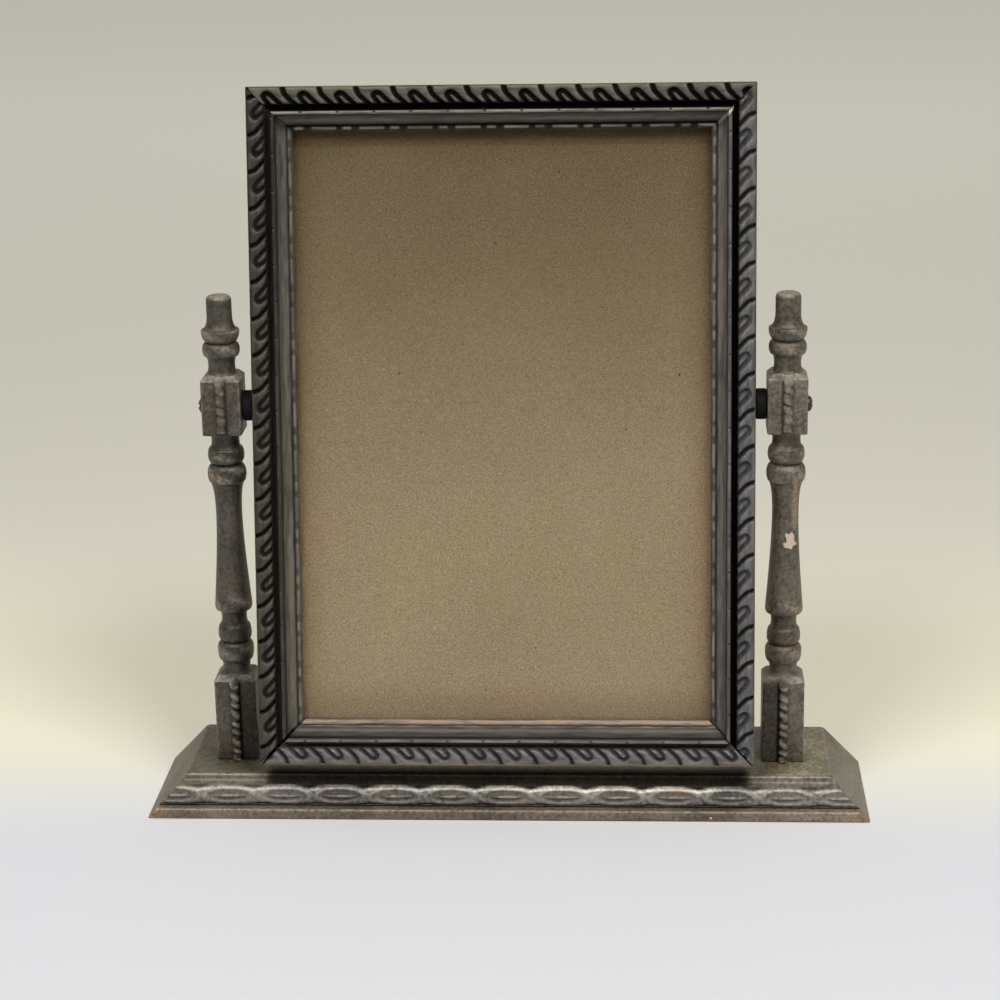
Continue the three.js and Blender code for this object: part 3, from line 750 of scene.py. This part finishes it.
def wearAndLightOfBase(piece, points, fromEnd, onBand, fromTop, parts):
    along, depth, height = points
    look = base["wearAndLight"]
    outward = abs(along)
    onEnd = fromEnd < 10 * hair
    foot = fade(*look["footFade"], height)
    tips = ease(*look["tipStart"], outward) * (depth < look["tipDepth"])
    nosing = fade(*look["nosingFade"], np.hypot(depth - look["nosing"][0], height - look["nosing"][1]))
    ledge = (height > look["ledgeHeight"]) * (depth > look["ledgeDepth"])
    # painted shadow of the frame over the base's ledge and band top, between the frame's ends
    underFrame = fade(*look["underFrame"], outward)
    behind = ease(*look["frameShadowDepths"], depth)
    shadow = np.where(onBand, ease(*look["frameShadowTop"], fromTop), height > look["frameShadowHeight"])
    paintedFrameShadow = underFrame * shadow * (1 - behind) * (1 - look["nosingKept"] * nosing)
    # painted warm reflection: a bronze-gold band on the ledge under the frame, behind the painted shadow
    paintedWarmReflection = underFrame * behind * fade(*look["warmReflectionEnd"], depth) * (height > look["warmReflectionHeight"])
    parts = dict(
        parts, nosing=nosing, paintedFrameShadow=paintedFrameShadow, tips=tips, footTips=foot * tips,
        quirk=within(*look["quirkDepths"], depth) * within(*look["quirkHeights"], height),
        scratch=within(*look["scratchDepths"], depth) * (height < look["scratchTop"]),
        lip=fade(*look["lipFade"], np.hypot(depth - look["lip"][0], height - look["lip"][1])),
        arris=fade(*look["arrisFade"], fromEnd), frontFoot=foot * (depth < look["footDepth"]))
    chips = np.zeros(len(along))
    for x, y, z, reach in look["chips"]:
        away = np.sqrt((along - x) ** 2 + (depth - y) ** 2 + (height - z) ** 2)
        chips = highest(chips, fade(*look["chipFade"], away / reach))
    # painted light: brighter towards the right end, and a painted highlight along the scallops' top edge
    paintedLight = 1 + np.where(ledge, look["rightLedge"], look["rightFront"]) * ease(*look["rightStart"], along)
    glint = look["ridgeLeast"]
    for gain, start, full in look["ridgeSteps"]:
        glint = glint + gain * ease(start, full, along)
    paintedLight = paintedLight * (1 + look["ridgeBright"] * parts["ridge"] * glint)
    tint = np.where(ledge[:, None], look["ledgeTint"], look["filletTint"])
    tint = np.where(onBand[:, None], look["bandTint"], tint)
    tint = np.where((height < look["plinthHeight"])[:, None], look["plinthTint"], tint)
    tint = tint * paintedLight[:, None]
    tint += paintedWarmReflection[:, None] * (np.array(look["warmReflectionTint"]) - tint)
    rusty = ease(*look["rustStart"], outward) * (height < look["rustHeight"])
    tint *= 1 + rusty[:, None] * (np.array(look["rustTint"]) - 1)
    # end slopes: the right end tinted lighter than the left as painted light
    endTint = np.where((along > 0)[:, None], look["litRightEndTint"], look["shadedLeftEndTint"])
    remember(
        piece, hollow=strongest(look["wash"], parts) * ~onEnd, bare=strongest(look["wood"], parts),
        rubbed=strongest(look["rubs"], parts) * (1 - paintedFrameShadow), chip=chips,
        tint=np.where(onEnd[:, None], endTint, tint))


settle(carvedBase(), "stand", standPaint, ["base"], 40)
print("base carved")


# Posts: square blocks with a roped bead in front, and turned forms between and above them.
# A turned form has its radius, height, end radius, and the share of its height below its middle.

post = dict(
    axis=82.3, lowerBottom=11.6, lowerTop=38.4, lowerHalf=6.2, lowerRows=120, lowerRope=0.7,
    middleBottom=113.23, middleTop=131.23, middleHalf=5.8, middleRows=84, middleRope=0.4,
    corner=0.7, topDrop=1.6, topRun=1.2, underDrop=0.4, underRun=0.6,
    beadRadius=1.5, beadProud=1.7, beadMargin=0.7, ropePitch=2.95, ropeLean=0.4, ropeFade=(0.04, 0.3),
    ropeWaves=((2.3, 0), (0.9, 1.7)), lumpStart=(0.15, 0.4), seamFade=(0.1, 0.6), nearFace=0.05,
    spinSteps=64, join=4.6, sink=1, boreRadius=1.75, boreLength=30, boreSides=32,
    feet=[("cove", 4.1, 3.8, 4.7, 0.5), ("bead", 5.45, 5.6, 3.75, 0.6), ("bead", 5.0, 4.9, 4.3, 0.38),
          ("cove", 3.75, 4.6, 4.7, 0.55)],
    neck=[("bead", 5.75, 5.5, 4.0, 0.48), ("bead", 5.4, 5.1, 4.5, 0.5), ("cove", 4.1, 4.4, 4.75, 0.5)],
    crown=[("cove", 3.9, 5.1, 4.75, 0.5), ("bead", 5.5, 4.1, 4.2, 0.5)],
    vaseRadius=5.6, vaseFoot=1.6, vasePull=2 / 3, vaseTop=5.1, waistRadius=3.88, waistToBead=9.7,
    neckPull=0.8, vaseLift=0.85, lift=((37.0, 56), (58, 90)), flangeRadius=5.6, flangeHeight=3.8,
    flangeEdge=0.5, finialRadius=3.7, finialFlare=4.3, finialLength=10.1, finialRound=1.7,
    wearAndLight=dict(
        rubs=dict(ropes=1, tip=0.6, slopes=0.5, crests=0.45, arrises=0.4, streak=0.4),
        wood=dict(lump=0.34, tip=0.32, crests=0.3825, streak=0.42),
        lowerRopes=0.85, middleRopes=0.55, ropesBySide=0.15, tipFrom=(1.6, 0.1), crestRadius=(5.0, 5.5),
        arrisStart=(-0.75, -0.3), streakPlace=2.6, streakFade=(0.4, 1.3), streak=((82, 86), (98, 104)),
        # the inner seam strengths, the frame shade and the contact shade are painted shade
        lowerSeam=0.9, middleSeam=0.6, outerSeam=0.2, shaded=0.52, shadedStart=(1.5, 2.2), shadedDepth=0.6,
        contact=0.85, contactFade=(0.15, 0.55),
        chip=(1.4, -4.2, 80.4), chipAcross=2.5, chipUp=4.1, chipFade=(0.3, 1.0),
        # painted light: the blocks are tinted brighter than the turned parts, and the right post brighter
        # than the left
        blockTint=(1.05, 0.98, 0.87), middleTint=(1.36, 1.28, 1.15), turnedTint=(0.86, 0.8, 0.7),
        brighterRight=0.2,
    ),
)


def addTurnings(path, turnings):
    for form, radius, height, end, share in turnings:
        start, foot = path[-1]
        below = height * share
        angles = (-90, 0, 90) if form == "bead" else (270, 180, 90)
        path += arc((start, foot + below), (abs(radius - start), below), *angles[:2], 6)
        path += arc((end, foot + below), (abs(radius - end), height - below), *angles[1:], 6)


def joinAbove(height):  # start of a turned form, sunk a little into the block below
    join = post["join"]
    return [(0, height - post["sink"]), (join, height - post["sink"]), (join, height)]


def spindleOutline():  # pairs of radius and height, from the bottom up
    path = joinAbove(post["lowerTop"])
    addTurnings(path, post["feet"])
    foot = path[-1][1]
    edge = foot + post["vaseFoot"]
    end = post["middleBottom"]
    top = end - sum(turning[2] for turning in post["neck"])
    waist = top - post["waistToBead"]
    wide = post["vaseRadius"]
    narrow = post["waistRadius"]
    path += traced(
        path[-1], ((wide, foot), (wide, edge), 5),
        ((narrow, edge + (waist - edge) * post["vasePull"]), (narrow, waist), 36),
        ((narrow, waist + (top - waist) * post["neckPull"]), (post["vaseTop"], top), 14))[1:]
    addTurnings(path, post["neck"])
    path += [(post["join"], end + post["sink"]), (0, end + post["sink"])]
    return path


def finialOutline():
    path = joinAbove(post["middleTop"])
    addTurnings(path, post["crown"])
    seam = path[-1][1]
    flange = seam + post["flangeHeight"]
    top = flange + post["finialLength"]
    radius = post["finialRadius"]
    rounded = post["finialRound"]
    wide = post["flangeRadius"]
    edge = post["flangeEdge"]
    path += traced(
        path[-1], ((wide - 0.1, seam + 0.8), (wide, flange - edge), 8),
        ((wide, flange - 0.1), (wide - 0.25, flange), 3),
        ((radius, flange + edge), (radius, flange + post["finialFlare"]), 12), ((radius, top - rounded), 4),
        ((radius, top), (radius - rounded, top), 6), ((0, top), 1))[1:]
    return path


def eased(before, corner, after):
    return [before, *bow(before, corner, after, 4)]


def blockOutline(half):  # square with eased corners and a round bead in front
    flat = half - post["corner"]
    bead = post["beadRadius"]
    margin = bead + post["beadMargin"]
    middle = half + post["beadProud"] - bead
    path = [(0, half)]
    path += eased((-flat, half), (-half, half), (-half, flat))
    path += eased((-half, -flat), (-half, -half), (-flat, -half))
    path += [(-margin, -half), (-bead, -half), *arc((0, -middle), (bead, bead), 180, 360, 14)]
    path += [(bead, -half), (margin, -half)]
    path += eased((flat, -half), (half, -half), (half, -flat))
    path += eased((half, flat), (half, half), (flat, half))
    return path


def ropedBlock(name, level):  # level is "lower" or "middle"
    bottom, top, half, rows, rope = (post[level + part] for part in ("Bottom", "Top", "Half", "Rows", "Rope"))
    block = extrudeOutline(name, [(x, y, bottom) for x, y in blockOutline(half)], (0, 0, top - bottom))
    cutRows(block, 2, rows)
    drop = post["topDrop"]
    under = post["underDrop"]
    for x, y in ((0, -1), (1, 0), (0, 1), (-1, 0)):
        trim(block, (x * half, y * half, top - drop), (x * drop, y * drop, post["topRun"]))
        if level == "middle":
            trim(block, (x * half, y * half, bottom + under), (x * under, y * under, -post["underRun"]))
    x, y, z = corners(block).T
    onBead = (y < -half - post["nearFace"]) * 1.0
    uneven = 0.1 * np.sin(0.83 * z + 0.5) + 0.06 * np.sin(2.1 * z)
    strand = z / post["ropePitch"] + post["ropeLean"] * x / post["beadRadius"] / 2 + uneven
    fromValley = abs(strand % 1 - 0.5)
    worn = waver(z, *post["ropeWaves"])
    valley = fade(*post["ropeFade"], fromValley) * onBead * worn
    carve(block, rope * valley, 'NORMAL')
    besideBead = fade(*post["seamFade"], abs(abs(x) - post["beadRadius"]))
    remember(block, hollow=rope * valley, lump=onBead * worn * ease(*post["lumpStart"], fromValley),
             seam=besideBead * (y < -half + post["nearFace"]))
    return block


def turnedPost():
    piece = ropedBlock("turnedPost", "lower")
    combine(piece, spinOutline("spindle", spindleOutline(), post["spinSteps"]), 'UNION')
    combine(piece, ropedBlock("middleBlock", "middle"), 'UNION')
    combine(piece, spinOutline("finial", finialOutline(), post["spinSteps"]), 'UNION')
    putDown()
    bpy.ops.mesh.primitive_cylinder_add(
        vertices=post["boreSides"], radius=post["boreRadius"] * mm, depth=post["boreLength"] * mm,
        location=(0, 0, swing["pivotHeight"] * mm), rotation=(0, math.pi / 2, 0))
    combine(piece, bpy.context.active_object, 'DIFFERENCE')
    return piece


def wearAndLightOfPost(piece, side):  # side is -1 for the left post and 1 for the right
    look = post["wearAndLight"]
    x, y, z = corners(piece).T
    inwards = -side * x  # towards the frame
    low = z < post["lowerTop"]
    onBlock = low + within(post["middleBottom"], post["middleTop"], z)
    half = np.where(low, post["lowerHalf"], post["middleHalf"])
    fromTop = np.where(low, post["lowerTop"], post["middleTop"]) - z
    # the large chip of the right post, with a ragged outline
    across, back, up = (corners(piece) - np.array(look["chip"])).T
    ragged = 1 + 0.25 * np.sin(2.1 * up + 0.6) + 0.2 * np.sin(3.7 * across + 1.3 * up)
    away = np.hypot(np.hypot(across, back) / look["chipAcross"], up / look["chipUp"])
    chip = (side > 0) * fade(*look["chipFade"], away * ragged)
    # dark wash beside the beads, made stronger on the side towards the frame as painted shade; painted shade
    # on the faces towards the frame, and a painted contact shadow round the foot
    innerSeamAndShade = np.where(low, look["lowerSeam"], look["middleSeam"])
    seam = recall(piece, "seam") * np.where(inwards > 0, innerSeamAndShade, look["outerSeam"])
    onFront = y < look["shadedDepth"] - post["lowerHalf"]
    shaded = look["shaded"] * ease(*look["shadedStart"], inwards) * onFront * low
    contact = look["contact"] * fade(*look["contactFade"], z - post["lowerBottom"])
    change(piece, "hollow", highest(recall(piece, "hollow"), seam, shaded, contact))
    # rubbed and bare places
    lump = recall(piece, "lump")
    start, full = (z.max() - below for below in look["tipFrom"])
    patches = 0.5 + 0.5 * np.sin(3 * np.arctan2(y, x) + 0.9 * z + side)
    arrises = ease(*look["arrisStart"], np.minimum(abs(x), abs(y)) - half) * (0.6 + 0.4 * np.sin(1.3 * z))
    streak = fade(*look["streakFade"], abs(x - look["streakPlace"])) * (y < 0)
    places = dict(
        lump=lump, tip=ease(start, full, z), arrises=onBlock * arrises,
        ropes=np.where(low, look["lowerRopes"], look["middleRopes"] + look["ropesBySide"] * side) * lump,
        slopes=onBlock * (fromTop < post["topDrop"] + post["nearFace"]),
        crests=~onBlock * ease(*look["crestRadius"], np.hypot(x, y)) * patches,
        streak=(side > 0) * streak * zone(*look["streak"], z))
    # painted light: block tints brighter than the turned parts, and the right post brighter than the left
    tint = np.where(onBlock[:, None], look["middleTint"], look["turnedTint"])
    tint = np.where(low[:, None], look["blockTint"], tint)
    remember(piece, chip=chip, rubbed=strongest(look["rubs"], places), bare=strongest(look["wood"], places),
             tint=tint * (1 + look["brighterRight"] * side))


master = turnedPost()
for label, side in (("left", -1), ("right", 1)):
    piece = copyOf(master, label + "PostTurned")
    if label == "left":  # its vase was turned a little higher
        height = corners(piece)[:, 2]
        carve(piece, post["vaseLift"] * zone(*post["lift"], height), 'Z')
    wearAndLightOfPost(piece, side)
    place(piece, shift(x=side * post["axis"]))
    settle(piece, "stand", standPaint, [label + "_post"], 40)
    print("turned", label, "post", len(piece.data.polygons), "faces")
throwAway(master)


# Pivots: a slotted screw through each post and a bush between post and frame

pivot = dict(
    gap=3.4, seat=0.15, grip=6.5, tip=2.5, point=(0.25, 0.3), shank=1.5,
    headRadius=2.3, headHeight=1.5, headRim=0.3, slotLength=6, slotWidth=0.8, slotDepth=0.7, slotClear=1,
    slotTurns=dict(left=90, right=70), bushRadius=4.5, bushBore=1.75, bushChamfer=0.3, steps=48,
)


def slottedScrew(name):  # along Z, its head's underside at the origin
    tip = -(2 * post["middleHalf"] + pivot["gap"] + pivot["grip"])
    shank = pivot["shank"]
    head = pivot["headRadius"]
    rim = pivot["headRim"]
    path = [(0, tip), (pivot["point"][0], tip + pivot["point"][1]), (shank, tip + pivot["tip"]), (shank, 0)]
    path += [(head, 0), (head, rim)]
    path += arc((0, rim), (head, pivot["headHeight"] - rim), 0, 90, 8)
    screw = spinOutline(name, path, pivot["steps"])
    putDown()
    depth = pivot["slotDepth"] + pivot["slotClear"]
    middle = pivot["headHeight"] - pivot["slotDepth"] + depth / 2
    bpy.ops.mesh.primitive_cube_add(size=mm, location=(0, 0, middle * mm))
    cutter = bpy.context.active_object
    editAll(cutter)
    bpy.ops.transform.resize(value=(pivot["slotLength"], pivot["slotWidth"], depth))
    putDown()
    combine(screw, cutter, 'DIFFERENCE')
    return screw


def bush(name):  # along Z from the origin
    length = pivot["gap"] - 2 * pivot["seat"]
    wide = pivot["bushRadius"]
    bore = pivot["bushBore"]
    chamfer = pivot["bushChamfer"]
    path = [(bore, 0), (wide - chamfer, 0), (wide, chamfer), (wide, length - chamfer)]
    path += [(wide - chamfer, length), (bore, length), (bore, 0)]
    return spinOutline(name, path, pivot["steps"])


for label, side in (("left", -1), ("right", 1)):
    outward = swingPlace @ turn(90 * side, 'Y')
    seat = swing["width"] / 2 + pivot["seat"]
    screw = slottedScrew(label + "PivotScrew")
    underHead = seat + pivot["gap"] + 2 * post["middleHalf"]
    place(screw, outward @ shift(z=underHead) @ turn(pivot["slotTurns"][label], 'Z'))
    settle(screw, "swing_frame", steelFinish, [label + "_pivot_screw"])
    ring = bush(label + "Bush")
    place(ring, outward @ shift(z=seat))
    settle(ring, "swing_frame", bushFinish, [label + "_spacer"])
print("pivots fitted")


# Kept nodes: glass, board and small fixings

finishes = dict(glass_pane=glassFinish, backing_board=boardFinish)
for name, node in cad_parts.items():
    if not node.hide_render:
        node.data.materials.clear()
        node.data.materials.append(finishes.get(name, steelFinish))
print("kept nodes finished")


# Stage, light and camera, in metres. A name ending in From holds where a tone starts and is full.

stage = dict(
    radius=8.0, sides=96, drop=0.00002, roughness=0.9, floor=colour(222, 223, 227),
    near=colour(70, 68, 64), nearFrom=(-0.65, -0.25), front=colour(180, 180, 178), frontFrom=(-0.5, -0.15),
    far=colour(248, 243, 219), farFrom=(-0.05, 0.06), back=colour(225, 222, 208), backFrom=(0.08, 0.3),
    haze=0.27, hazeFrom=(0.1, 1.5), dim=(0.03, 0.03, 0.03, 1), rear=(0.42, 0.42, 0.39, 1),
    rearFrom=(-0.2, 0.5), zenith=(0.4, 0.4, 0.41, 1), zenithFrom=(0.3, 0.9), wall=(0.5, 0.49, 0.44, 1),
)
lamps = [
    dict(name="leftLamp", place=(-0.5, -0.75, 1.2), size=(0.6, 0.5), power=9, tint=(1, 0.99, 0.96)),
    dict(name="rightLamp", place=(0.55, -0.75, 1.2), size=(0.6, 0.5), power=11, tint=(1, 0.99, 0.96)),
]
lampAim = (0, 0, 0.1)
view = dict(
    place=(0.041962, -0.725746, 0.314333), yaw=-3.432, pitch=17.0, roll=-1.059, lens=92.713, sensor=36,
    nearest=0.01,
)

putDown()
bpy.ops.mesh.primitive_circle_add(vertices=stage["sides"], radius=stage["radius"], fill_type='NGON',
                                  location=(0, 0, -stage["drop"]))
floor = bpy.context.active_object
floor.name = "floor"
bpy.ops.object.transform_apply(location=True, rotation=True, scale=True)
floorFinish, tree, shader = newMaterial("floorPaper")
across = addNode(tree, "SeparateXYZ", "Y", {"Vector": addNode(tree, "TexCoord", "Object")})
rays = tree.nodes.new("ShaderNodeLightPath").outputs
lit = blend(levels(across, *stage["nearFrom"]), stage["near"], stage["floor"])
shown = blend(levels(across, *stage["frontFrom"]), stage["front"], stage["floor"])
tone = blend(rays["Is Camera Ray"], lit, shown)
tone = blend(levels(across, *stage["farFrom"]), tone, stage["far"])
tone = blend(levels(across, *stage["backFrom"]), tone, stage["back"])
mirrored = sums('MAXIMUM', rays["Is Glossy Ray"], rays["Is Transmission Ray"])
seen = sums('MAXIMUM', rays["Is Camera Ray"], mirrored)
haze = product(seen, levels(size(across), *stage["hazeFrom"], 0, stage["haze"]))
feed(shader, {"Base Color": tone, "Emission Color": tone, "Emission Strength": haze,
              "Roughness": stage["roughness"]})
floor.data.materials.append(floorFinish)

world = bpy.data.worlds.new("studio")
world.use_nodes = True
tree = world.node_tree
outwards = {"Vector": addNode(tree, "TexCoord", "Generated")}
across = addNode(tree, "SeparateXYZ", "Y", outwards)
upward = addNode(tree, "SeparateXYZ", "Z", outwards)
sky = blend(levels(across, *stage["rearFrom"]), stage["dim"], stage["rear"])
sky = blend(levels(upward, *stage["zenithFrom"]), sky, stage["zenith"])
sky = blend(addNode(tree, "LightPath", "Is Camera Ray"), sky, stage["wall"])
feed(tree.nodes["Background"], {"Color": sky})
bpy.context.scene.world = world

for lamp in lamps:
    bpy.ops.object.light_add(type='AREA', location=lamp["place"])
    light = bpy.context.active_object
    light.name = lamp["name"]
    light.data.shape = 'RECTANGLE'
    light.data.size, light.data.size_y = lamp["size"]
    light.visible_camera = False
    light.data.energy = lamp["power"]
    light.data.color = lamp["tint"]
    aim = Vector(lampAim) - Vector(lamp["place"])
    light.rotation_euler = aim.to_track_quat('-Z', 'Y').to_euler()

bpy.ops.object.camera_add(location=view["place"])
camera = bpy.context.active_object
camera.data.lens = view["lens"]
camera.data.sensor_width = view["sensor"]
camera.data.clip_start = view["nearest"]
facing = turn(-view["yaw"], 'Z') @ turn(90 - view["pitch"], 'X') @ turn(view["roll"], 'Z')
camera.rotation_euler = facing.to_euler()
bpy.context.scene.camera = camera
bpy.context.scene.view_settings.view_transform = 'Standard'
print("stage, lamps and camera set")
